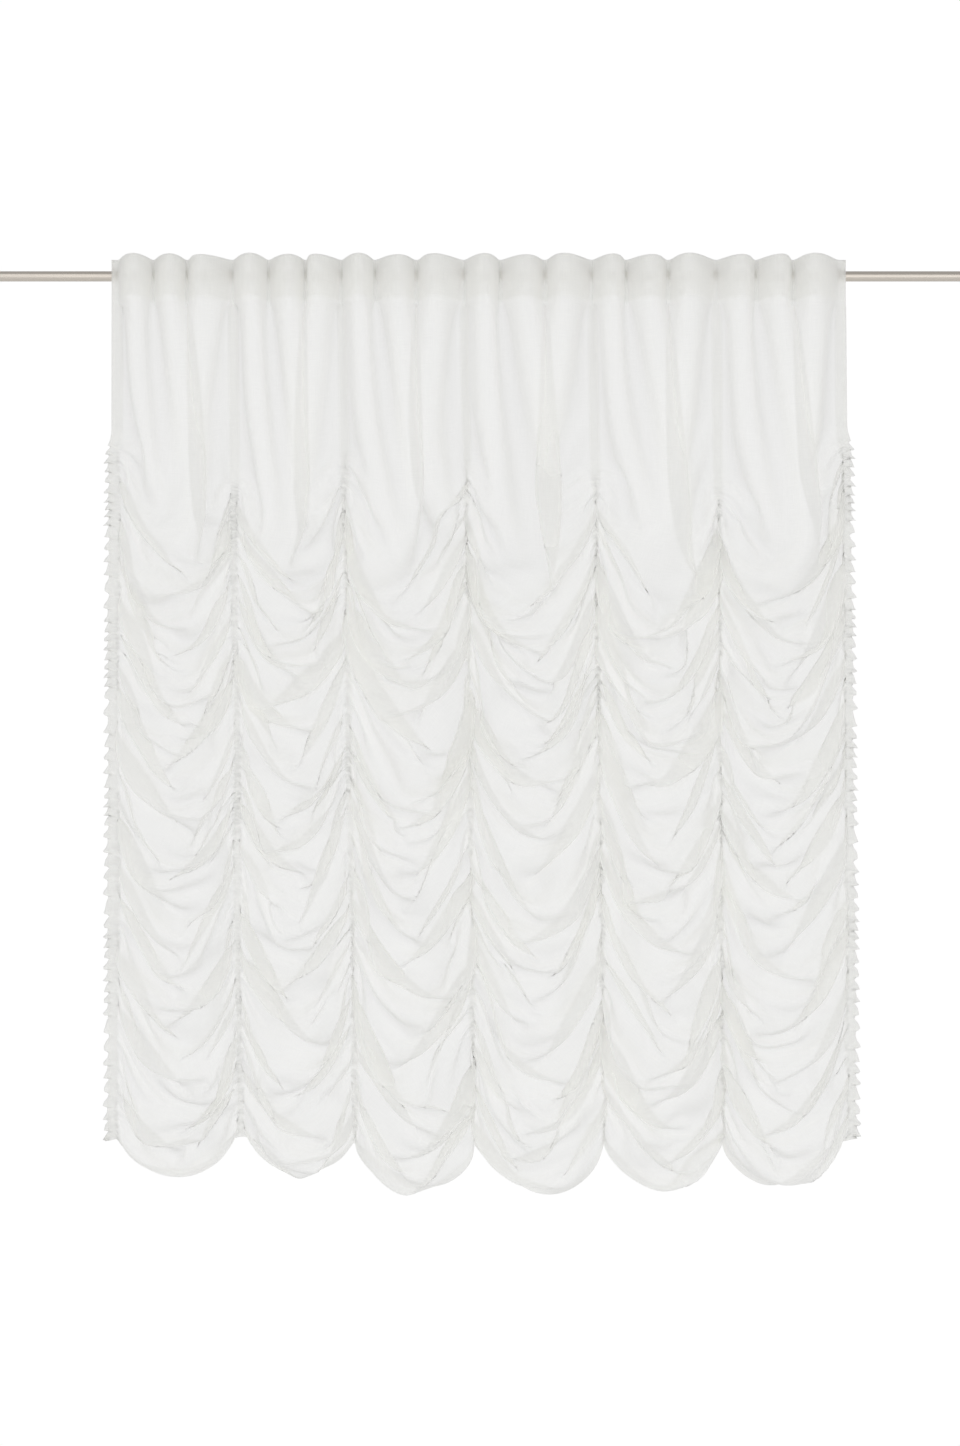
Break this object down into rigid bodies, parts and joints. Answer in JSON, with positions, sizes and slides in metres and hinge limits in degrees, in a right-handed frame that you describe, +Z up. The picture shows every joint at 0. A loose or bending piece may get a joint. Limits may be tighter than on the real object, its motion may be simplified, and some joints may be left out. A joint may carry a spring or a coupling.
{
  "type": "ruched sheer curtain and curtain rod",
  "caption": "Sheer white curtain drawn up into columns of swags by gathering tapes, with a waved heading that hangs by tape loops from a straight metal rod.",
  "frame": {"origin": "middle of the rod, on its axis", "axes": "+X along the rod to the right as seen from the front, -Y towards the viewer in front of the curtain, +Z up; the cloth hangs down from the rod"},
  "size_m": [1.9, 0.0898, 1.7661],
  "materials": {
    "cloth": "thin semi-sheer plain-weave voile, off-white, soft and dry",
    "tape": "woven white polyester tape",
    "metal": "plain brushed metal tube, slightly warm grey"
  },
  "bodies": {
    "root": {"cloth_panel": "cloth", "heading_tape": "tape", "tape_loop_01": "tape", "tape_loop_02": "tape", "tape_loop_03": "tape", "tape_loop_04": "tape", "tape_loop_05": "tape", "tape_loop_06": "tape", "tape_loop_07": "tape", "tape_loop_08": "tape", "tape_loop_09": "tape", "tape_loop_10": "tape", "tape_loop_11": "tape", "tape_loop_12": "tape", "tape_loop_13": "tape", "tape_loop_14": "tape", "tape_loop_15": "tape", "tape_loop_16": "tape", "tape_loop_17": "tape", "tape_loop_18": "tape", "gather_tape_1": "tape", "gather_tape_2": "tape", "gather_tape_3": "tape", "gather_tape_4": "tape", "gather_tape_5": "tape", "gather_tape_6": "tape", "gather_tape_7": "tape", "rod": "metal"}
  },
  "joints": []
}
